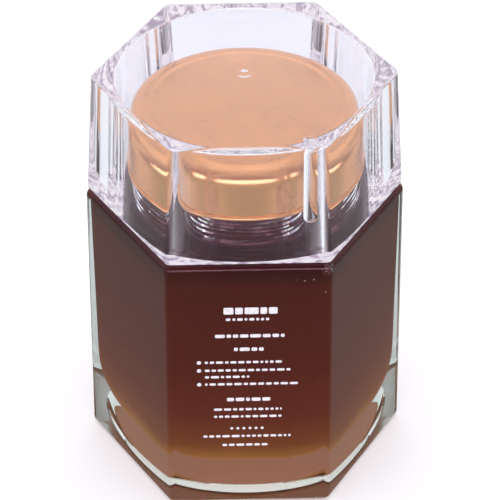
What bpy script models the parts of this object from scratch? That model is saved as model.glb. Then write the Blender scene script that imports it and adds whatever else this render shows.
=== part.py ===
"""Hexagonal glass jar of honey with a gold metal lid, under a clear hexagonal cap.

Metres, +Z up. The origin is at the middle of the jar's base. One flat side of the jar faces -Y
and two of its corners lie on the X axis.
"""
import math

import bmesh
import bpy
from mathutils import Matrix, Vector

# Glass jar, outside: half the width across flats at the base and under the shoulder
JAR_BASE_APOTHEM = 0.0320
JAR_TOP_APOTHEM = 0.0319
JAR_EDGE_RADIUS = 0.0018
JAR_FOOT_RADIUS = 0.0013
SHOULDER_HEIGHT = 0.0686
SHOULDER_EDGE_RADIUS = 0.0020

# Round hollow in the underside of the base
PUNT_RADIUS = 0.0260
PUNT_SLOPE = 0.0035
PUNT_DEPTH = 0.0022

# Glass jar, inside
FLOOR_HEIGHT = 0.0070
FLOOR_EDGE_RADIUS = 0.0120
FLOOR_CORNER_LOSS = 0.0022
CAVITY_LOW_APOTHEM = 0.0286
CAVITY_HIGH_APOTHEM = 0.0298
CAVITY_LOW_EDGE_RADIUS = 0.0130
CAVITY_HIGH_EDGE_RADIUS = 0.0050
CAVITY_SHOULDER_HEIGHT = 0.0661
CAVITY_SHOULDER_RADIUS = 0.0034

# Neck and rim
NECK_RADIUS = 0.0242
NECK_BORE_RADIUS = 0.0222
NECK_FILLET = 0.0012
BORE_LIP = 0.0004
NECK_BEAD_RADIUS = 0.0251
NECK_BEAD_HEIGHT = 0.0736
NECK_BEAD_HALF = 0.0010
NECK_BEAD_CREST = 0.0005
RIM_HEIGHT = 0.0889
RIM_RADIUS = 0.0008

# Honey fills the jar up into the neck
HONEY_LEVEL = 0.0790
GAP = 0.0003

# Gold lid
LID_RADIUS = 0.0268
LID_TOP = 0.0902
LID_BOTTOM = 0.0776
LID_SHEET = 0.0005
LID_EDGE_RADIUS = 0.0038
LID_PANEL_RADIUS = 0.0215
LID_PANEL_SINK = 0.0003
LID_CURL_RADIUS = 0.0005

# Clear cap over the lid
CAP_BASE_APOTHEM = 0.0315
CAP_TOP_APOTHEM = 0.0303
CAP_BASE_EDGE_RADIUS = 0.0011
CAP_TOP_EDGE_RADIUS = 0.0023
CAP_RIM_RADIUS = 0.0006
CAP_TOP = 0.0992
CAP_PLATE = 0.0020
CAP_BORE_BASE_RADIUS = 0.0303
CAP_BORE_TOP_RADIUS = 0.0295
CAP_BORE_FILLET = 0.0006

# Moulded rib that runs over the cap's front edge and down its front face
RIB_X = 0.0137
RIB_HALF_WIDTH = 0.0016
RIB_HALF_THICKNESS = 0.0008
RIB_SINK = 0.0002
RIB_DROP = 0.0195
RIB_RUN = 0.0045
RIB_SEGMENTS = 12
RIB_RINGS = 6

# Directions from a corner to the middle of a flat at which an outline has its points, in degrees
CORNER_STEPS = (1.8, 5.5, 13.0, 21.5)
SIDES = 6
ROUND_STEPS = 4
SMALL_ROUND_STEPS = 2
PUNT_STEPS = 3
LID_SEGMENTS = 60

# Faces that meet at less than this are shaded as one smooth surface, in degrees
SMOOTH_ANGLE = 35


def clear_scene():
    for item in list(bpy.data.objects):
        bpy.data.objects.remove(item, do_unlink=True)


def make_material(name, colour, roughness, metallic=0.0, alpha=1.0):
    material = bpy.data.materials.new(name)
    material.use_nodes = True
    shader = material.node_tree.nodes["Principled BSDF"]
    shader.inputs["Base Color"].default_value = (*colour, 1.0)
    shader.inputs["Roughness"].default_value = roughness
    shader.inputs["Metallic"].default_value = metallic
    shader.inputs["Alpha"].default_value = alpha
    return material


def outline_angles():
    """Directions of an outline's points: a corner, its neighbours on each side, mid-flat."""
    step = 360.0 / SIDES
    offsets = [-a for a in reversed(CORNER_STEPS)] + [0.0] + list(CORNER_STEPS) + [step / 2]
    return [math.radians(side * step + offset) for side in range(SIDES) for offset in offsets]


def outline(apothem, edge_radius, height):
    """A hexagon with rounded corners. It is a circle when edge_radius equals apothem."""
    half_side = math.pi / SIDES
    centre = (apothem - edge_radius) / math.cos(half_side)
    arc_end = math.atan2(edge_radius * math.sin(half_side),
                         centre + edge_radius * math.cos(half_side))
    points = []
    for angle in outline_angles():
        from_corner = abs((angle + half_side) % (2 * half_side) - half_side)
        if from_corner > arc_end:
            radius = apothem / math.cos(half_side - from_corner)
        else:
            across = centre * math.sin(from_corner)
            radius = centre * math.cos(from_corner) + math.sqrt(edge_radius ** 2 - across ** 2)
        points.append(Vector((radius * math.cos(angle), radius * math.sin(angle), height)))
    return points


def circle(radius, height):
    return outline(radius, radius, height)


def loft(name, outlines, material):
    """Join outlines in order with walls, and close the first and the last one with a face."""
    mesh = bmesh.new()
    loops = [[mesh.verts.new(point) for point in points] for points in outlines]
    for lower, upper in zip(loops, loops[1:]):
        for i in range(len(lower)):
            j = (i + 1) % len(lower)
            mesh.faces.new((lower[i], lower[j], upper[j], upper[i]))
    mesh.faces.new(loops[0])
    mesh.faces.new(loops[-1])
    bmesh.ops.recalc_face_normals(mesh, faces=mesh.faces)
    return finish_mesh(name, mesh, material)


def finish_mesh(name, mesh, material):
    data = bpy.data.meshes.new(name)
    mesh.to_mesh(data)
    mesh.free()
    data.shade_smooth()
    data.set_sharp_from_angle(angle=math.radians(SMOOTH_ANGLE))
    data.materials.append(material)
    item = bpy.data.objects.new(name, data)
    bpy.context.scene.collection.objects.link(item)
    return item


def quarter(steps=ROUND_STEPS):
    """Sine and cosine along a quarter turn, for rounding an edge."""
    return [(math.sin(math.pi / 2 * i / steps), math.cos(math.pi / 2 * i / steps))
            for i in range(steps + 1)]


def cavity_outlines(inset, top):
    """The inside of the jar from its floor up to a level in the neck, drawn in by inset."""
    floor = FLOOR_HEIGHT + inset
    wall_start = FLOOR_HEIGHT + FLOOR_EDGE_RADIUS
    wall_end = CAVITY_SHOULDER_HEIGHT - CAVITY_SHOULDER_RADIUS
    low, high = CAVITY_LOW_APOTHEM - inset, CAVITY_HIGH_APOTHEM - inset
    low_edge, high_edge = CAVITY_LOW_EDGE_RADIUS - inset, CAVITY_HIGH_EDGE_RADIUS - inset
    bore = NECK_BORE_RADIUS - inset
    outlines = []
    for rise, out in quarter():
        apothem = low - FLOOR_EDGE_RADIUS * (1 - rise)
        edge = low_edge - FLOOR_CORNER_LOSS * (1 - rise)
        outlines.append(outline(apothem, edge, floor + (wall_start - floor) * (1 - out)))
    for rise, out in quarter():
        apothem = high - CAVITY_SHOULDER_RADIUS * (1 - out)
        height = wall_end + (CAVITY_SHOULDER_HEIGHT - inset - wall_end) * rise
        outlines.append(outline(apothem, high_edge, height))
    outlines.append(circle(bore + NECK_FILLET, CAVITY_SHOULDER_HEIGHT + BORE_LIP - inset))
    outlines.append(circle(bore, CAVITY_SHOULDER_HEIGHT + NECK_FILLET))
    outlines.append(circle(bore, top))
    return outlines


def make_jar(material):
    """One piece of glass: punt, foot, six flat sides, shoulder, neck, rim and cavity."""
    outlines = [circle(PUNT_RADIUS - PUNT_SLOPE * (1 - out), PUNT_DEPTH * rise)
                for rise, out in reversed(quarter(PUNT_STEPS))]
    for rise, out in quarter(SMALL_ROUND_STEPS):
        inset = JAR_FOOT_RADIUS * (1 - rise)
        outlines.append(outline(JAR_BASE_APOTHEM - inset, JAR_EDGE_RADIUS - inset,
                                JAR_FOOT_RADIUS * (1 - out)))
    for rise, out in quarter():
        inset = SHOULDER_EDGE_RADIUS * (1 - out)
        outlines.append(outline(JAR_TOP_APOTHEM - inset, JAR_EDGE_RADIUS,
                                SHOULDER_HEIGHT - SHOULDER_EDGE_RADIUS * (1 - rise)))
    outlines.append(circle(NECK_RADIUS + NECK_FILLET, SHOULDER_HEIGHT))
    outlines.append(circle(NECK_RADIUS, SHOULDER_HEIGHT + NECK_FILLET))
    outlines.append(circle(NECK_RADIUS, NECK_BEAD_HEIGHT - NECK_BEAD_HALF))
    outlines.append(circle(NECK_BEAD_RADIUS, NECK_BEAD_HEIGHT - NECK_BEAD_CREST))
    outlines.append(circle(NECK_BEAD_RADIUS, NECK_BEAD_HEIGHT + NECK_BEAD_CREST))
    outlines.append(circle(NECK_RADIUS, NECK_BEAD_HEIGHT + NECK_BEAD_HALF))
    for rise, out in quarter(SMALL_ROUND_STEPS):
        outlines.append(circle(NECK_RADIUS - RIM_RADIUS * (1 - out),
                               RIM_HEIGHT - RIM_RADIUS * (1 - rise)))
    return loft("glass_jar", outlines + list(reversed(cavity_outlines(0.0, RIM_HEIGHT))), material)


def make_honey(material):
    return loft("honey", cavity_outlines(GAP, HONEY_LEVEL), material)


def lid_profile():
    """Half section of the pressed lid: sunk panel, rounded edge, skirt, curl, then the inside."""
    top, sheet, edge = LID_TOP, LID_SHEET, LID_EDGE_RADIUS
    panel = top - LID_PANEL_SINK
    points = [(0.0, panel), (LID_PANEL_RADIUS, panel), (LID_PANEL_RADIUS + sheet, top)]
    points += [(LID_RADIUS - edge * (1 - rise), top - edge * (1 - out)) for rise, out in quarter()]
    curl = LID_CURL_RADIUS
    curl_height = LID_BOTTOM + curl
    points.append((LID_RADIUS, curl_height + curl))
    points += [(LID_RADIUS + curl * math.sin(turn), curl_height + curl * math.cos(turn))
               for turn in (math.pi / 3, 2 * math.pi / 3)]
    inside = LID_RADIUS - sheet
    points += [(LID_RADIUS, LID_BOTTOM), (inside, LID_BOTTOM + sheet)]
    points += [(inside - (edge - sheet) * (1 - out), top - sheet - (edge - sheet) * (1 - rise))
               for rise, out in quarter(SMALL_ROUND_STEPS)]
    points.append((0.0, panel - sheet))
    return points


def make_lid(material):
    mesh = bmesh.new()
    verts = [mesh.verts.new((radius, 0.0, height)) for radius, height in lid_profile()]
    edges = [mesh.edges.new(pair) for pair in zip(verts, verts[1:])]
    bmesh.ops.spin(mesh, geom=verts + edges, cent=(0, 0, 0), axis=(0, 0, 1),
                   angle=2 * math.pi, steps=LID_SEGMENTS, use_merge=True)
    bmesh.ops.remove_doubles(mesh, verts=mesh.verts, dist=1e-6)
    bmesh.ops.recalc_face_normals(mesh, faces=mesh.faces)
    return finish_mesh("gold_lid", mesh, material)


def make_cap(material):
    """A hexagonal moulding with a round bore, so its walls are thin at the flats only."""
    foot = SHOULDER_HEIGHT + GAP
    ceiling = CAP_TOP - CAP_PLATE
    outlines = []
    for rise, out in quarter(SMALL_ROUND_STEPS):
        inset = CAP_RIM_RADIUS * (1 - rise)
        outlines.append(outline(CAP_TOP_APOTHEM - inset, CAP_TOP_EDGE_RADIUS,
                                CAP_TOP - CAP_RIM_RADIUS * (1 - out)))
    outlines.append(outline(CAP_BASE_APOTHEM, CAP_BASE_EDGE_RADIUS, foot))
    outlines.append(circle(CAP_BORE_BASE_RADIUS, foot))
    for rise, out in quarter(SMALL_ROUND_STEPS):
        outlines.append(circle(CAP_BORE_TOP_RADIUS - CAP_BORE_FILLET * (1 - out),
                               ceiling - CAP_BORE_FILLET * (1 - rise)))
    return loft("clear_cap", outlines, material)


def rib_part(start, end, across, out):
    """A flattened rod with round ends that lies on the cap between two points."""
    along = (end - start).normalized()
    mesh = bmesh.new()
    bmesh.ops.create_uvsphere(mesh, u_segments=RIB_SEGMENTS, v_segments=RIB_RINGS, radius=1.0)
    for vert in mesh.verts:
        reach = RIB_HALF_WIDTH * abs(vert.co.z)
        base = start - along * reach if vert.co.z < 0 else end + along * reach
        vert.co = (base + across * RIB_HALF_WIDTH * vert.co.x
                   + out * RIB_HALF_THICKNESS * vert.co.y)
    bmesh.ops.recalc_face_normals(mesh, faces=mesh.faces)
    return mesh


def add_rib(cap):
    """Fuse the rib to the cap: one length lies on the top plate and one on the front face."""
    draft = math.atan2(CAP_BASE_APOTHEM - CAP_TOP_APOTHEM, CAP_TOP - SHOULDER_HEIGHT)
    down = Matrix.Rotation(-draft, 3, 'X') @ Vector((0, 0, -1))
    across = Vector((1, 0, 0))
    edge = Vector((RIB_X, -CAP_TOP_APOTHEM + RIB_SINK, CAP_TOP - RIB_SINK))
    lengths = (
        ("rib_front", edge + down * RIB_HALF_WIDTH, edge + down * (RIB_DROP - RIB_HALF_WIDTH),
         across.cross(down)),
        ("rib_top", edge + Vector((0, RIB_RUN - RIB_HALF_WIDTH, 0)), edge, Vector((0, 0, 1))),
    )
    for name, start, end, out in lengths:
        rib = finish_mesh(name, rib_part(start, end, across, out), cap.data.materials[0])
        rib.hide_render = True
        rib.display_type = 'WIRE'
        union = cap.modifiers.new(name, 'BOOLEAN')
        union.operation = 'UNION'
        union.object = rib


def main():
    clear_scene()
    glass = make_material("glass", (0.86, 0.90, 0.88), 0.03, alpha=0.3)
    plastic = make_material("clear_plastic", (0.90, 0.87, 0.93), 0.05, alpha=0.3)
    gold = make_material("gold_metal", (0.80, 0.56, 0.36), 0.22, metallic=1.0)
    amber = make_material("honey", (0.09, 0.02, 0.01), 0.15)
    make_jar(glass)
    make_honey(amber)
    make_lid(gold)
    add_rib(make_cap(plastic))


main()
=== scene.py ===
import math
import random

import bmesh
import bpy
from mathutils import Matrix, Vector


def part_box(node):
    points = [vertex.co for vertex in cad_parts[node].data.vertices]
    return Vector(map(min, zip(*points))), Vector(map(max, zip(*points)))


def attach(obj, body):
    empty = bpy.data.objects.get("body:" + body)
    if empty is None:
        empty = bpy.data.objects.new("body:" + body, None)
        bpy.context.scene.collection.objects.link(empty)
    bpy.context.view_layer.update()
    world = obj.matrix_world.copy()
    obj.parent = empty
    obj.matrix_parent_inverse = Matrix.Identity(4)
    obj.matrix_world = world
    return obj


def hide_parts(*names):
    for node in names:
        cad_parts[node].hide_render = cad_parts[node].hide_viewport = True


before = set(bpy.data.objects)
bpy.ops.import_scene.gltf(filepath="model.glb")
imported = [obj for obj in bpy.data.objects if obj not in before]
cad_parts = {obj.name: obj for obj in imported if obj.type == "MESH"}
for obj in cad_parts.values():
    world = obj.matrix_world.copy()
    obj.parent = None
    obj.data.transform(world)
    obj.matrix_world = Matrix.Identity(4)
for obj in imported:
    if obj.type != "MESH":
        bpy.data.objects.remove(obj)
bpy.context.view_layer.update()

# The jar: one piece of pressed soda glass, faintly green where it is thick. Six flat sides with
# softly rounded edges stand on a flat foot with a round hollow under it, and a narrow shoulder
# carries the round neck. Its skin is drawn from the hollow, round the outside, to the inside.
jar_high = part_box("glass_jar")[1]
honey_low, honey_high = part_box("honey")
cap_low, cap_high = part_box("clear_cap")
solid_gap = 0.0003
sides = 6
half_side = math.pi / sides
jar_apothem = jar_high.y
jar_top_apothem = jar_apothem - 0.0001
jar_edge = 0.0018
foot_round = 0.0013
shoulder_height = cap_low.z - solid_gap
shoulder_round = 0.0020
punt_radius, punt_slope, punt_depth = 0.0260, 0.0035, 0.0022
floor_height = honey_low.z - solid_gap
floor_round = 0.0120
floor_corner_loss = 0.0022
cavity_low, cavity_low_edge = 0.0286, 0.0130
cavity_high, cavity_high_edge = 0.0298, 0.0050
cavity_shoulder, cavity_shoulder_round = 0.0661, 0.0034
wall_shares = (0.04, 0.2, 0.4, 0.6, 0.8, 0.96)
neck_radius, bore_radius, neck_fillet, bore_lip = 0.0242, 0.0222, 0.0012, 0.0004
rim_round = 0.0008
corner_steps = (0.3, 0.6, 0.9, 1.2, 1.5, 1.8, 2.2, 3.2, 4.5, 6, 8, 10, 12, 14, 16, 18, 20, 22, 24,
                26, 28)
side_middle = 30.0

# A loop this far from each rounded edge, set off by a hair, holds the shading of the flats. An
# edge whose faces meet at more degrees than its crease is drawn sharp.
ease, flat_hold = 0.0004, 0.000002
soft_crease, glass_crease = 40, 60


def outline(apothem, edge, height):
    """A hexagon with rounded corners, or a circle where edge equals apothem."""
    offsets = [-step for step in reversed(corner_steps)] + [0.0, *corner_steps, side_middle]
    centre = (apothem - edge) / math.cos(half_side)
    arc_end = math.atan2(edge * math.sin(half_side), centre + edge * math.cos(half_side))
    points = []
    for side in range(sides):
        for offset in offsets:
            turn = math.radians(offset)
            if abs(turn) > arc_end:
                radius = apothem / math.cos(half_side - abs(turn))
            else:
                radius = centre * math.cos(turn)
                radius += math.sqrt(edge ** 2 - (centre * math.sin(turn)) ** 2)
            angle = 2 * half_side * side + turn
            points.append((radius * math.cos(angle), radius * math.sin(angle), height))
    return points


def circle(radius, height):
    return outline(radius, radius, height)


def quarter(steps):
    """Sine and cosine along a quarter turn, for rounding an edge."""
    turns = [math.pi / 2 * i / steps for i in range(steps + 1)]
    return [(math.sin(turn), math.cos(turn)) for turn in turns]


def loft(outlines):
    """Walls between outlines in order, closed at both ends by a fan of faces."""
    mesh = bmesh.new()
    loops = [[mesh.verts.new(point) for point in points] for points in outlines]
    for lower, upper in zip(loops, loops[1:]):
        for i in range(len(lower)):
            j = (i + 1) % len(lower)
            mesh.faces.new((lower[i], lower[j], upper[j], upper[i]))
    for end in (loops[0], loops[-1]):
        middle = mesh.verts.new(sum((vert.co for vert in end), Vector()) / len(end))
        for i in range(len(end)):
            mesh.faces.new((end[i], end[(i + 1) % len(end)], middle))
    bmesh.ops.recalc_face_normals(mesh, faces=mesh.faces)
    return mesh


def cavity(spread, top):
    """The inside of the jar from its floor to a level in the neck, grown by spread."""
    floor = floor_height - spread
    wall_start = floor_height + floor_round
    wall_end = cavity_shoulder - cavity_shoulder_round
    rings = []
    for rise, out in quarter(12):
        apothem = cavity_low + spread - floor_round * (1 - rise)
        edge = cavity_low_edge + spread - floor_corner_loss * (1 - rise)
        rings.append(outline(apothem, edge, floor + (wall_start - floor) * (1 - out)))
    for share in wall_shares:
        apothem = cavity_low + (cavity_high - cavity_low) * share + spread
        edge = cavity_low_edge + (cavity_high_edge - cavity_low_edge) * share + spread
        rings.append(outline(apothem, edge, wall_start + (wall_end - wall_start) * share))
    for rise, out in quarter(8):
        apothem = cavity_high + spread - cavity_shoulder_round * (1 - out)
        height = wall_end + (cavity_shoulder_round + spread) * rise
        rings.append(outline(apothem, cavity_high_edge + spread, height))
    bore = bore_radius + spread
    rings.append(circle(bore + neck_fillet, cavity_shoulder + bore_lip + spread))
    rings.append(circle(bore, cavity_shoulder + neck_fillet))
    rings.append(circle(bore, top))
    return rings


def show(name, mesh, material, crease=soft_crease):
    """Turn a bmesh into a smooth-shaded piece that rides with the jar."""
    data = bpy.data.meshes.new(name)
    mesh.to_mesh(data)
    mesh.free()
    data.shade_smooth()
    data.set_sharp_from_angle(angle=math.radians(crease))
    data.materials.append(material)
    piece = bpy.data.objects.new(name, data)
    bpy.context.scene.collection.objects.link(piece)
    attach(piece, "root")
    return piece


def make_material(name, **values):
    """A material with a Principled shader, and its tree and shader to build on."""
    material = bpy.data.materials.new(name)
    material.use_nodes = True
    tree = material.node_tree
    shader = tree.nodes["Principled BSDF"]
    for socket, value in values.items():
        shader.inputs[socket.replace("_", " ")].default_value = value
    return material, tree, shader


def add_place(tree):
    """Where a point lies in its own piece."""
    return tree.nodes.new("ShaderNodeTexCoord").outputs["Object"]


def add_noise(tree, place, scale, detail):
    """Soft noise over a place."""
    noise = tree.nodes.new("ShaderNodeTexNoise")
    noise.inputs["Scale"].default_value = scale
    noise.inputs["Detail"].default_value = detail
    tree.links.new(place, noise.inputs["Vector"])
    return noise.outputs["Fac"]


def add_range(tree, value, low, high, start=0.0, stop=1.0):
    """Turn a value between start and stop into one between low and high."""
    change = tree.nodes.new("ShaderNodeMapRange")
    change.inputs["From Min"].default_value = start
    change.inputs["From Max"].default_value = stop
    change.inputs["To Min"].default_value = low
    change.inputs["To Max"].default_value = high
    tree.links.new(value, change.inputs["Value"])
    return change.outputs[0]


def add_math(tree, operation, *values):
    """A sum on values that are given as numbers or as sockets."""
    step = tree.nodes.new("ShaderNodeMath")
    step.operation = operation
    for i, value in enumerate(values):
        if isinstance(value, float):
            step.inputs[i].default_value = value
        else:
            tree.links.new(value, step.inputs[i])
    return step.outputs[0]


def add_bump(tree, shader, height, distance):
    """Feed a height into the shader's normal."""
    bump = tree.nodes.new("ShaderNodeBump")
    bump.inputs["Distance"].default_value = distance
    tree.links.new(height, bump.inputs["Height"])
    tree.links.new(bump.outputs["Normal"], shader.inputs["Normal"])


wave_grain, smudge_grain = 60, 130
smudge_faint, smudge_full = 0.35, 0.75
scratch_runs = ((0.5, 130), (2.1, 90), (1.2, 70))
scratch_fine, scratch_deep, scratch_tilts = 1400, 400, (0.3, 0.2, 1.0)
scratch_side, scratch_core = 0.07, 0.03


def wear_group():
    """Marks of use and moulding: slow waves, thin broken scratches and soft smudges."""
    group = bpy.data.node_groups.new("wear_marks", "ShaderNodeTree")
    for name in ("Scale", "Scratches"):
        socket = group.interface.new_socket(name, in_out="INPUT", socket_type="NodeSocketFloat")
        socket.default_value = 1.0
    for name in ("Waves", "Scratch", "Smudge"):
        group.interface.new_socket(name, in_out="OUTPUT", socket_type="NodeSocketFloat")
    given, result = group.nodes.new("NodeGroupInput"), group.nodes.new("NodeGroupOutput")
    size = group.nodes.new("ShaderNodeVectorMath")
    size.operation = "SCALE"
    group.links.new(add_place(group), size.inputs[0])
    group.links.new(given.outputs["Scale"], size.inputs["Scale"])
    place = size.outputs[0]
    group.links.new(add_noise(group, place, wave_grain, detail=1), result.inputs["Waves"])
    smudge = add_noise(group, place, smudge_grain, detail=3)
    group.links.new(add_range(group, smudge, 0.0, 1.0, smudge_faint, smudge_full),
                    result.inputs["Smudge"])
    scratches = 0.0
    for turn, stretch in scratch_runs:
        slant = group.nodes.new("ShaderNodeMapping")
        slant.inputs["Rotation"].default_value = [tilt * turn for tilt in scratch_tilts]
        slant.inputs["Scale"].default_value = (scratch_fine, stretch, scratch_deep)
        group.links.new(place, slant.inputs["Vector"])
        cells = group.nodes.new("ShaderNodeTexVoronoi")
        cells.inputs["Scale"].default_value = 1.0
        group.links.new(slant.outputs[0], cells.inputs["Vector"])
        thin = add_range(group, cells.outputs["Distance"], 0.0, 1.0, scratch_side, scratch_core)
        scratches = add_math(group, "MAXIMUM", scratches, thin)
    group.links.new(add_math(group, "MULTIPLY", scratches, given.outputs["Scratches"]),
                    result.inputs["Scratch"])
    return group


wear_marks = wear_group()


def add_wear(tree, scale=1.0, scratches=1.0):
    """Place the group of wear marks in a material."""
    wear = tree.nodes.new("ShaderNodeGroup")
    wear.node_tree = wear_marks
    wear.inputs["Scale"].default_value = scale
    wear.inputs["Scratches"].default_value = scratches
    return wear


glass_index = 1.52
glass_scratch, glass_wave = 0.16, 0.00012
glass_green, glass_depth = (0.70, 0.78, 0.75, 1), 22


def finish_glass(tree, shader):
    """Waves and scratches on pressed glass, and its green, which deepens with the way through."""
    wear = add_wear(tree)
    tree.links.new(add_range(tree, wear.outputs["Scratch"], 0.0, glass_scratch),
                   shader.inputs["Roughness"])
    add_bump(tree, shader, wear.outputs["Waves"], glass_wave)
    depth = tree.nodes.new("ShaderNodeVolumeAbsorption")
    depth.inputs["Color"].default_value = glass_green
    depth.inputs["Density"].default_value = glass_depth
    tree.links.new(depth.outputs[0], tree.nodes["Material Output"].inputs["Volume"])


glass, tree, shader = make_material("jar_glass", Base_Color=(0.97, 0.985, 0.975, 1),
                                    IOR=glass_index, Transmission_Weight=1.0,
                                    Specular_Tint=(0.60, 0.58, 0.60, 1))
finish_glass(tree, shader)
rings = [circle(punt_radius - punt_slope * (1 - out), punt_depth * rise)
         for rise, out in reversed(quarter(6))]
for rise, out in quarter(5):
    inset = foot_round * (1 - rise)
    rings.append(outline(jar_apothem - inset, jar_edge - inset, foot_round * (1 - out)))
rings.append(outline(jar_apothem - flat_hold, jar_edge, foot_round + ease))
rings.append(outline(jar_top_apothem + flat_hold, jar_edge,
                     shoulder_height - shoulder_round - ease))
for rise, out in quarter(8):
    rings.append(outline(jar_top_apothem - shoulder_round * (1 - out), jar_edge,
                         shoulder_height - shoulder_round * (1 - rise)))
for rise, out in quarter(4):
    rings.append(circle(neck_radius + neck_fillet * (1 - rise),
                        shoulder_height + neck_fillet * (1 - out)))

# Low ridges run round the neck, each with a plain upper slope that catches the light. They fade
# and swell along the way, so that their glints break up. Each row is a height and its fall.
neck_ridges = ((0.0701, 0.0005), (0.0714, 0.0004), (0.0726, 0.0004), (0.0737, 0.0005),
               (0.0749, 0.0004), (0.0759, 0.0004))
ridge_section = ((0.0, 0.0), (0.06, 0.06), (0.94, 0.94), (1.0, 1.0), (0.0, 1.1))
ridge_slope, ridge_wander = 0.50, 0.0002
ridge_swells, swell_shift, swell_pitch = 8, 1.4, 4000
wander_turns, wander_pitch = 3, 900
for height, fall in neck_ridges:
    start = swell_shift * math.sin(swell_pitch * height)
    for reach, drop in ridge_section:
        ring = []
        for x, y, z in circle(neck_radius, height):
            around = math.atan2(y, x) + math.pi / 2
            swell = 0.5 - 0.5 * math.cos(ridge_swells * around + start)
            radius = neck_radius + reach * swell * fall * ridge_slope
            wander = ridge_wander * math.sin(wander_turns * around + wander_pitch * height)
            ring.append((radius * math.sin(around), -radius * math.cos(around),
                         z + (fall * (0.5 - drop) + wander)))
        rings.append(ring)
for rise, out in quarter(4):
    rings.append(circle(neck_radius - rim_round * (1 - out), jar_high.z - rim_round * (1 - rise)))
mesh = loft(rings + list(reversed(cavity(0.0, jar_high.z))))

# One round bubble of air is caught in the thick glass at the right shoulder corner.
bubble_radius, bubble_place = 0.00135, (0.0175, -0.0303, 0.0662)
bubble = bmesh.ops.create_uvsphere(mesh, u_segments=24, v_segments=12, radius=bubble_radius,
                                   matrix=Matrix.Translation(bubble_place))
bmesh.ops.reverse_faces(mesh, faces=list({face for vert in bubble["verts"]
                                          for face in vert.link_faces}))
jar = show("glass_jar_body", mesh, glass, crease=glass_crease)
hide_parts("glass_jar")

# The shoulder and the neck stand over the dark honey under the cap, and the reflections in
# them are painted a warm pink.
# The flat ring that the jar stands on is dull, half clear and a dark red brown.
facing_down = -0.9
shoulder_glass, tree, shader = make_material("shoulder_glass", Base_Color=(0.97, 0.93, 0.94, 1),
                                             IOR=glass_index, Transmission_Weight=1.0,
                                             Specular_Tint=(0.88, 0.46, 0.56, 1))
finish_glass(tree, shader)
dull_ring = make_material("dull_ring", Base_Color=(0.10, 0.04, 0.03, 1), Roughness=0.15,
                          IOR=glass_index, Transmission_Weight=0.5)[0]
jar.data.materials.append(shoulder_glass)
jar.data.materials.append(dull_ring)
for face in jar.data.polygons:
    out = math.hypot(*face.center.xy)
    if face.center.z > shoulder_height - shoulder_round - ease and out > bore_radius + ease:
        face.material_index = 1
    elif face.center.z < ease and face.normal.z < facing_down and out > punt_radius:
        face.material_index = 2

# The print on the front flat: white screen ink, baked on in a thin coat. It is laid out as
# centred rows of small plain blocks, with round bullets and a row of dots between them. Each
# row is its height, middle, width, the height of its blocks and the length of a short block.
ink_coat = 0.00002
ink_corner, corner_parts = 0.0003, 4
ink_gap, ink_fill, ink_ends = 0.0004, 0.66, 2.2
ink_lengths = (1.0, 3.2)
ink_rows = ((0.0561, 0.0004, 0.0122, 0.0028, 0.0013), (0.0537, -0.0003, 0.0098, 0.0011, 0.0006),
            (0.0490, 0.0002, 0.0158, 0.0014, 0.0008), (0.0452, 0.0001, 0.0070, 0.0015, 0.0008),
            (0.0415, -0.0010, 0.0182, 0.0010, 0.0006), (0.0392, -0.0003, 0.0196, 0.0010, 0.0006),
            (0.0373, -0.0050, 0.0102, 0.0010, 0.0006), (0.0352, 0.0008, 0.0218, 0.0010, 0.0006),
            (0.0307, -0.0001, 0.0100, 0.0015, 0.0008), (0.0278, -0.0003, 0.0156, 0.0010, 0.0006),
            (0.0257, -0.0003, 0.0156, 0.0010, 0.0006), (0.0199, -0.0005, 0.0202, 0.0010, 0.0006),
            (0.0173, -0.0006, 0.0112, 0.0010, 0.0006))
bullet_rows, bullet_x, bullet_radius = (0.0415, 0.0392, 0.0352), -0.0114, 0.0005
dot_count, dot_row, dot_pitch, dot_radius, dot_middle = 6, 0.0222, 0.0014, 0.00035, -0.0005
nearly_round = 0.999
ink_grain, ink_relief = 2200, 0.00001
ink_shades = ((0.30, (0.62, 0.55, 0.58)), (0.55, (0.80, 0.76, 0.81)))


def add_ramp(tree, value, stops, blend="LINEAR"):
    """Colours at positions along a value."""
    node = tree.nodes.new("ShaderNodeValToRGB")
    ramp = node.color_ramp
    ramp.interpolation = blend
    ramp.elements[0].position, ramp.elements[1].position = stops[0][0], stops[-1][0]
    for position, colour in stops[1:-1]:
        ramp.elements.new(position)
    for element, (position, colour) in zip(ramp.elements, stops):
        element.color = (*colour, 1)
    tree.links.new(value, node.inputs[0])
    return node.outputs[0]


def add_ink(mesh, x, z, width, height, corner):
    """A flat patch with round corners, standing on the front flat of the glass."""
    points = []
    for side_x, side_z, start in ((1, -1, -90), (1, 1, 0), (-1, 1, 90), (-1, -1, 180)):
        for step in range(corner_parts + 1):
            turn = math.radians(start + 90 / corner_parts * step)
            points.append((x + side_x * (width / 2 - corner) + corner * math.cos(turn),
                           z + side_z * (height / 2 - corner) + corner * math.sin(turn)))
    rise = (jar_apothem - jar_top_apothem) / shoulder_height
    back = [mesh.verts.new((px, -jar_apothem + rise * pz, pz)) for px, pz in points]
    front = [mesh.verts.new((px, -jar_apothem + rise * pz - ink_coat, pz)) for px, pz in points]
    mesh.faces.new(front)
    mesh.faces.new(list(reversed(back)))
    for i in range(len(points)):
        j = (i + 1) % len(points)
        mesh.faces.new((back[i], back[j], front[j], front[i]))


def add_dot(mesh, x, z, radius):
    """A round patch on the front flat."""
    add_ink(mesh, x, z, 2 * radius, 2 * radius, radius * nearly_round)


# The ink also glows faintly in its own colour, painted light that keeps the print bright.
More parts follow.
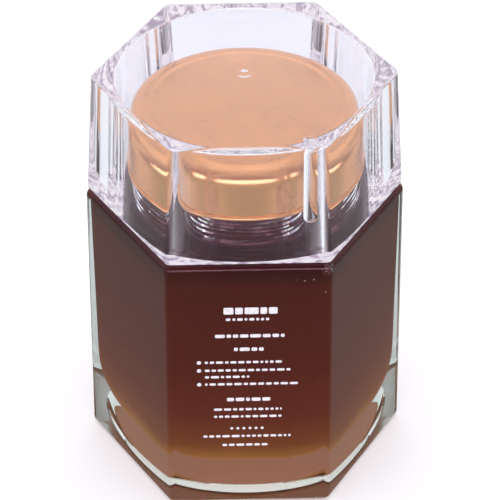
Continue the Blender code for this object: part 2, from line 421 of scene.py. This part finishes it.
ink, tree, shader = make_material("white_ink", Roughness=0.55, Emission_Strength=0.08)
specks = add_noise(tree, add_place(tree), ink_grain, detail=3)
ink_and_glow = add_ramp(tree, specks, ink_shades)
tree.links.new(ink_and_glow, shader.inputs["Base Color"])
tree.links.new(ink_and_glow, shader.inputs["Emission Color"])
add_bump(tree, shader, specks, ink_relief)
mesh = bmesh.new()
draw = random.Random(7)
for row, middle, width, height, block in ink_rows:
    x, right = middle - width / 2, middle + width / 2
    tall = height * ink_fill
    while x < right - block / 2:
        reach = min(block * draw.uniform(*ink_lengths), right - x)
        add_ink(mesh, x + reach / 2, row, reach, tall,
                min(ink_corner, reach / ink_ends, tall / ink_ends))
        x += reach + ink_gap
for row in bullet_rows:
    add_dot(mesh, bullet_x, row, bullet_radius)
for i in range(dot_count):
    add_dot(mesh, (i - (dot_count - 1) / 2) * dot_pitch + dot_middle, dot_row, dot_radius)
bmesh.ops.recalc_face_normals(mesh, faces=mesh.faces)
show("front_print", mesh, ink)

# Dust: fine pale grains that lie on the front flat, most of them close under the cap's edge,
# and three larger flakes near its right corner.
grain_count, grain_spread = 44, 0.016
grain_top, grain_fall, grain_crowding = 0.0655, 0.040, 1.8
grain_widths, grain_lengths, grain_corner = (0.00005, 0.00010), (0.7, 1.4), 0.3
flake_places = ((0.0126, 0.0642), (0.0146, 0.0645), (0.0173, 0.0610))
flake_width, flake_length, flake_corner = 0.00024, 0.00028, 0.0001
dust = make_material("dust", Base_Color=(0.55, 0.42, 0.38, 1), Roughness=0.9)[0]
mesh = bmesh.new()
draw = random.Random(5)
for _ in range(grain_count):
    x = draw.uniform(-grain_spread, grain_spread)
    z = grain_top - grain_fall * draw.random() ** grain_crowding
    width = draw.uniform(*grain_widths)
    add_ink(mesh, x, z, width, width * draw.uniform(*grain_lengths), width * grain_corner)
for x, z in flake_places:
    add_ink(mesh, x, z, flake_width, flake_length, flake_corner)
bmesh.ops.recalc_face_normals(mesh, faces=mesh.faces)
show("front_dust", mesh, dust)

# Honey: dark and slightly cloudy. Its colour is painted as a glow, which stands in for light in
# the honey: a deep red brown in the body that turns to amber towards the rounded floor, where
# light shines through the thin honey, with a band of painted shade at the shoulder. It wets the
# glass, so it reaches just into the wall, and its own skin hardly shines there. Its flat
# underside shows a pinkish brown, painted light from the table below.
wetting = 0.00005
cloud_grain, cloud_drift = 45, 0.006
shades_low, shades_high = 0.010, 0.080
# Painted glow along the height: amber light low down, painted shade in a dark band at the
# shoulder.
honey_glow_shades = ((0.0, (0.120, 0.050, 0.018)), (0.043, (0.105, 0.040, 0.011)),
                (0.12, (0.058, 0.0155, 0.0045)), (0.24, (0.038, 0.0063, 0.0027)),
                (0.43, (0.028, 0.0034, 0.0014)), (0.77, (0.022, 0.0022, 0.0010)),
                (0.85, (0.007, 0.0005, 0.0002)), (0.90, (0.020, 0.0040, 0.0050)),
                (1.0, (0.022, 0.0050, 0.0065)))
# The underside's pinkish brown is painted light from the table below.
painted_underside_glow, underside_start, underside_full = (0.125, 0.052, 0.034), -0.80, -0.95


def add_part(tree, vector, axis):
    """One coordinate of a vector."""
    split = tree.nodes.new("ShaderNodeSeparateXYZ")
    tree.links.new(vector, split.inputs[0])
    return split.outputs[axis]


def add_mix(tree, factor, first, second):
    """Blend two colours, each given as a value or as a socket."""
    mix = tree.nodes.new("ShaderNodeMix")
    mix.data_type = "RGBA"
    for end, colour in (("A", first), ("B", second)):
        if isinstance(colour, tuple):
            mix.inputs[end].default_value = (*colour, 1)
        else:
            tree.links.new(colour, mix.inputs[end])
    tree.links.new(factor, mix.inputs["Factor"])
    return mix.outputs["Result"]


# The honey's colour is given as emission, a painted glow that stands in for light through it.
honey, tree, shader = make_material("honey", Roughness=0.4, IOR=1.03, Emission_Strength=2.4)
place = add_place(tree)
clouds = add_noise(tree, place, cloud_grain, detail=4)
drift = add_math(tree, "MULTIPLY_ADD", clouds, cloud_drift, add_part(tree, place, "Z"))
body = add_ramp(tree, add_range(tree, drift, 0.0, 1.0, shades_low, shades_high), honey_glow_shades)
facing = tree.nodes.new("ShaderNodeNewGeometry").outputs["Normal"]
underside = add_range(tree, add_part(tree, facing, "Z"), 0.0, 1.0, underside_start, underside_full)
honey_glow_colour = add_mix(tree, underside, body, painted_underside_glow)
tree.links.new(honey_glow_colour, shader.inputs["Base Color"])
tree.links.new(honey_glow_colour, shader.inputs["Emission Color"])
honey_fill = show("honey_fill", loft(cavity(wetting, honey_high.z)), honey,
                  crease=glass_crease)
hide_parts("honey")

# The lid: pressed tinplate with a warm gold lacquer. A shallow panel is sunk in the top, the
# edge is rounded, and the skirt ends in a small rolled curl. It is turned on a lathe path.
lid_low, lid_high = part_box("gold_lid")
curl = 0.0005
lid_radius = lid_high.x - curl * math.sin(math.pi / 3)
lid_sheet = 0.0005
lid_round = 0.0038
panel_radius, panel_sink, panel_slope = 0.0212, 0.0003, 0.0014
lid_turns, lid_bends = 160, 8
weld = 1e-7
lacquer, lacquer_worn = (0.83, 0.435, 0.215), (0.77, 0.41, 0.22)
lacquer_scratch = (0.95, 0.64, 0.42)
satin_low, satin_high = 0.23, 0.29
lacquer_grain, lacquer_relief = 2600, 0.000012
gold, tree, shader = make_material("gold_lacquer", Metallic=1.0)
wear = add_wear(tree, scale=1.4, scratches=0.5)
tone = add_mix(tree, wear.outputs["Smudge"], lacquer, lacquer_worn)
tree.links.new(add_mix(tree, wear.outputs["Scratch"], tone, lacquer_scratch),
               shader.inputs["Base Color"])
tree.links.new(add_range(tree, wear.outputs["Smudge"], satin_low, satin_high),
               shader.inputs["Roughness"])
grain = add_noise(tree, add_place(tree), lacquer_grain, detail=2)
add_bump(tree, shader, grain, lacquer_relief)
top, bottom = lid_high.z, lid_low.z
section = [(0.0, top - panel_sink), (panel_radius - ease, top - panel_sink)]
for step in range(lid_bends + 1):
    turn = math.pi * step / lid_bends
    section.append((panel_radius + panel_slope * step / lid_bends,
                    top - panel_sink * (0.5 + 0.5 * math.cos(turn))))
section.append((lid_radius - lid_round - ease, top))
section += [(lid_radius - lid_round * (1 - rise), top - lid_round * (1 - out))
            for rise, out in quarter(10)]
section.append((lid_radius, top - lid_round - ease))
section.append((lid_radius, bottom + 2 * curl + ease))
for step in range(lid_bends + 1):
    turn = math.pi * step / lid_bends
    section.append((lid_radius + curl * math.sin(turn), bottom + curl + curl * math.cos(turn)))
section.append((lid_radius - lid_sheet, bottom + curl))
section += [(lid_radius - lid_sheet - (lid_round - lid_sheet) * (1 - out),
             top - lid_sheet - (lid_round - lid_sheet) * (1 - rise)) for rise, out in quarter(4)]
section.append((0.0, top - panel_sink - lid_sheet))
mesh = bmesh.new()
verts = [mesh.verts.new((radius, 0.0, height)) for radius, height in section]
edges = [mesh.edges.new(pair) for pair in zip(verts, verts[1:])]
bmesh.ops.spin(mesh, geom=verts + edges, cent=(0, 0, 0), axis=(0, 0, 1), angle=2 * math.pi,
               steps=lid_turns, use_merge=True)
bmesh.ops.remove_doubles(mesh, verts=mesh.verts, dist=weld)
bmesh.ops.recalc_face_normals(mesh, faces=mesh.faces)
lid = show("lid_gold", mesh, gold)
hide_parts("gold_lid")

# The cap: a hexagonal moulding in clear, faintly lavender plastic. Its bore is round, so the
# walls are thin at the middle of each side and thick at the corners. A small ring marks where
# it was moulded. It rests on the jar's shoulder.
rib_stand = 0.0006
cap_foot = cap_low.z
cap_top = cap_high.z - rib_stand
cap_base_apothem, cap_base_edge = 0.0315, 0.0011
cap_top_apothem, cap_top_edge = 0.0303, 0.0023
cap_rim, cap_plate = 0.0006, 0.0020
cap_hold, bore_hold = 0.00002, 0.00001
ceiling = cap_top - cap_plate
cap_bore_low, cap_bore_high, cap_bore_round = 0.0303, 0.0295, 0.0006
cap_index, cap_wave, cap_crease = 1.55, 0.00002, 35
gate_rings = ((0.0004, -0.00004), (0.0008, 0.00002), (0.0011, 0.00012), (0.0014, 0.00016),
              (0.0017, 0.00010), (0.0020, 0.00001), (0.0024, 0.0))
plastic, tree, shader = make_material("clear_plastic", Base_Color=(0.965, 0.945, 0.99, 1),
                                      Roughness=0.0, IOR=cap_index, Transmission_Weight=0.994,
                                      Specular_Tint=(0.36, 0.30, 0.40, 1))
add_bump(tree, shader, add_wear(tree).outputs["Waves"], cap_wave)
rings = [circle(radius, cap_top + height) for radius, height in gate_rings]
for rise, out in quarter(5):
    inset = cap_rim * (1 - rise)
    rings.append(outline(cap_top_apothem - inset, cap_top_edge, cap_top - cap_rim * (1 - out)))
rings.append(outline(cap_top_apothem + cap_hold, cap_top_edge, cap_top - cap_rim - ease))
rings.append(outline(cap_base_apothem, cap_base_edge, cap_foot))
rings.append(circle(cap_bore_low, cap_foot))
rings.append(circle(cap_bore_high + bore_hold, ceiling - cap_bore_round - ease))
for rise, out in quarter(6):
    rings.append(circle(cap_bore_high - cap_bore_round * (1 - out),
                        ceiling - cap_bore_round * (1 - rise)))
cap = show("cap_clear", loft(rings), plastic, crease=cap_crease)
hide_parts("clear_cap")

# A short rounded rib, moulded in one with the cap, lies on the top plate and runs over the
# front edge and down the front face. Each of its two lengths is a drawn-out ball.
rib_x, rib_half_width, rib_half_thickness, rib_sink = 0.0137, 0.0016, 0.0008, 0.0002
rib_drop, rib_run = 0.0195, 0.0045
draft = math.atan2(cap_base_apothem - cap_top_apothem, cap_top - shoulder_height)
down = Matrix.Rotation(-draft, 3, "X") @ Vector((0, 0, -1))
across = Vector((1, 0, 0))
rib_edge = Vector((rib_x, -cap_top_apothem + rib_sink, cap_top - rib_sink))
lengths = ((rib_edge + down * rib_half_width, rib_edge + down * (rib_drop - rib_half_width),
            across.cross(down)),
           (rib_edge + Vector((0, rib_run - rib_half_width, 0)), rib_edge, Vector((0, 0, 1))))
for start, end, out in lengths:
    along = (end - start).normalized()
    mesh = bmesh.new()
    bmesh.ops.create_uvsphere(mesh, u_segments=28, v_segments=16, radius=1.0)
    for vert in mesh.verts:
        reach = rib_half_width * abs(vert.co.z)
        base = start - along * reach if vert.co.z < 0 else end + along * reach
        vert.co = (base + across * rib_half_width * vert.co.x
                   + out * rib_half_thickness * vert.co.y)
    bmesh.ops.recalc_face_normals(mesh, faces=mesh.faces)
    data = bpy.data.meshes.new("rib_length")
    mesh.to_mesh(data)
    mesh.free()
    data.shade_smooth()
    rib = bpy.data.objects.new("rib_length", data)
    bpy.context.scene.collection.objects.link(rib)
    fuse = cap.modifiers.new("fuse", "BOOLEAN")
    fuse.operation = "UNION"
    fuse.object = rib
    fused = cap.evaluated_get(bpy.context.evaluated_depsgraph_get())
    fused_data = bpy.data.meshes.new_from_object(fused)
    cap.modifiers.clear()
    cap.data = fused_data
    bpy.data.objects.remove(rib, do_unlink=True)

# The cap's top and sides are true planes. The foot that it stands on is frosted in patches,
# which carry a painted glow: light that stands in for what the frosting scatters through the
# clear walls.
plane_match = 0.99996
foot_matte_low, foot_matte_high, foot_grain = 0.45, 0.65, 420
frost_glow_shades = ((0.38, (0.46, 0.38, 0.50)), (0.57, (1.0, 0.96, 1.0)))
planes = [Vector((0, 0, 1))]
for side in range(sides):
    turn = half_side * (2 * side + 1)
    planes.append(Vector((math.cos(turn) * math.cos(draft), math.sin(turn) * math.cos(draft),
                          math.sin(draft))))
# Emission carries the painted glow of the frosted patches.
matte_foot, tree, shader = make_material("matte_foot", IOR=cap_index, Transmission_Weight=0.1,
                                         Emission_Strength=0.55)
wear = add_wear(tree)
tree.links.new(add_range(tree, wear.outputs["Smudge"], foot_matte_low, foot_matte_high),
               shader.inputs["Roughness"])
mottle = add_noise(tree, add_place(tree), foot_grain, detail=1)
frosted_glow = add_ramp(tree, mottle, frost_glow_shades)
tree.links.new(frosted_glow, shader.inputs["Base Color"])
tree.links.new(frosted_glow, shader.inputs["Emission Color"])
cap.data.materials.append(matte_foot)
for face in cap.data.polygons:
    face.use_smooth = not any(face.normal.dot(plane) > plane_match for plane in planes)
    if face.normal.z < facing_down and face.center.z < cap_foot + ease:
        face.material_index = 1

# Floor, light and camera: a pale table in a bright tent that is darker on the camera's side, a
# long lamp low in front and a soft one overhead, a faint glow of the table under the hollow in
# the base, and the view that the picture was taken from.
floor_half, floor_drop = 3.0, 0.0002
# The table's colour carries painted light. It is paler to the camera than in the light that it
# sends on, a painted shadow darkens it in front of the jar for reflections and bounced light,
# every reflection of it is painted darker, and it glows faintly outside those painted darks.
front_start, front_full = -0.06, -0.12
table_seen, table_lit, table_shadow_front = (0.95, 0.95, 0.95), (0.75, 0.80, 0.81), (0.50, 0.56, 0.50)
table_darker_in_reflections, table_self_glow = (0.35, 0.38, 0.34), (0.19, 0.19, 0.20)
floor_mesh = bmesh.new()
bmesh.ops.create_grid(floor_mesh, x_segments=1, y_segments=1, size=floor_half)
floor_data = bpy.data.meshes.new("floor")
floor_mesh.to_mesh(floor_data)
floor_mesh.free()
floor = bpy.data.objects.new("floor", floor_data)
floor.location.z = -floor_drop
bpy.context.scene.collection.objects.link(floor)
pale, tree, shader = make_material("pale_floor", Roughness=0.8, Emission_Strength=1.0)
ray = tree.nodes.new("ShaderNodeLightPath").outputs
mirrored = add_math(tree, "MULTIPLY", ray["Is Glossy Ray"], ray["Is Reflection Ray"])
unseen = add_math(tree, "SUBTRACT", 1.0, ray["Is Camera Ray"])
in_front = add_range(tree, add_part(tree, add_place(tree), "Y"), 0.0, 1.0, front_start, front_full)
# Painted shadow in front of the jar, seen only in reflections and bounced light.
painted_front_shadow = add_math(tree, "MULTIPLY", in_front, unseen)
table = add_mix(tree, unseen, table_seen, table_lit)
table = add_mix(tree, painted_front_shadow, table, table_shadow_front)
tree.links.new(add_mix(tree, mirrored, table, table_darker_in_reflections), shader.inputs["Base Color"])
# A faint painted glow, left out in the painted shadow and in reflections.
floor_glow = add_mix(tree, add_math(tree, "MAXIMUM", mirrored, painted_front_shadow), table_self_glow, (0, 0, 0))
tree.links.new(floor_glow, shader.inputs["Emission Color"])
floor_data.materials.append(pale)

tent_rise = 0.8
tent_shades = ((0.30, (0.46, 0.40, 0.53)), (0.72, (1.03, 1.03, 1.06)))
world = bpy.data.worlds.new("studio")
bpy.context.scene.world = world
world.use_nodes = True
tree = world.node_tree
toward = tree.nodes.new("ShaderNodeTexCoord").outputs["Generated"]
depth = add_math(tree, "MULTIPLY_ADD", add_part(tree, toward, "Z"), tent_rise,
                 add_part(tree, toward, "Y"))
tent = add_ramp(tree, add_range(tree, depth, 0.0, 1.0, -1.0, 1.0), tent_shades, blend="EASE")
tree.links.new(tent, tree.nodes["Background"].inputs["Color"])


def softbox(name, place, aim, size, radiance, colour=(1, 1, 1), shape="RECTANGLE"):
    """A flat lamp whose face has the given radiance, turned to a point."""
    lamp = bpy.data.lights.new(name, "AREA")
    lamp.shape = shape
    lamp.size, lamp.size_y = size
    area = size[0] * size[1] * (math.pi / 4 if shape == "ELLIPSE" else 1.0)
    lamp.energy = radiance * math.pi * area
    lamp.color = colour
    item = bpy.data.objects.new(name, lamp)
    item.location = place
    item.rotation_mode = "QUATERNION"
    item.rotation_quaternion = (Vector(place) - Vector(aim)).to_track_quat("Z", "Y")
    bpy.context.scene.collection.objects.link(item)


softbox("top_light", place=(0.0, 0.25, 0.95), aim=(0, 0, 0.05), size=(1.0, 0.8), radiance=0.3)
softbox("front_light", place=(-0.05, -0.85, 0.21), aim=(0, 0, 0.08), size=(2.2, 0.30),
        radiance=3.3)
softbox("table_glow", place=(0, 0, -floor_drop / 2), aim=(0, 0, 1),
        size=(2 * punt_radius, 2 * punt_radius), radiance=0.38, colour=(0.86, 1.0, 0.97),
        shape="ELLIPSE")

camera_data = bpy.data.cameras.new("camera")
camera = bpy.data.objects.new("camera", camera_data)
bpy.context.scene.collection.objects.link(camera)
bpy.context.scene.camera = camera
camera_data.lens = 240.48
camera_data.sensor_width = 36.0
camera_data.shift_x = 0.0097
camera_data.shift_y = 0.0127
elevation, azimuth, roll = math.radians(36.079), math.radians(-1.4), math.radians(-0.2)
distance = 0.78306
target = Vector((0, 0, 0.048035))
back = Vector((math.sin(azimuth) * math.cos(elevation), -math.cos(azimuth) * math.cos(elevation),
               math.sin(elevation)))
right = (-back).cross(Vector((0, 0, 1))).normalized()
up = right.cross(-back)
tilted_right = right * math.cos(roll) + up * math.sin(roll)
tilted_up = -right * math.sin(roll) + up * math.cos(roll)
pose = Matrix((tilted_right, tilted_up, back)).transposed().to_4x4()
pose.translation = target + back * distance
camera.matrix_world = pose
camera_data.clip_start = 0.01
camera_data.clip_end = 20

light_bounces = 48
bpy.context.scene.view_settings.view_transform = "Standard"
bpy.context.scene.cycles.max_bounces = light_bounces
bpy.context.scene.cycles.transmission_bounces = light_bounces
bpy.context.scene.cycles.glossy_bounces = light_bounces
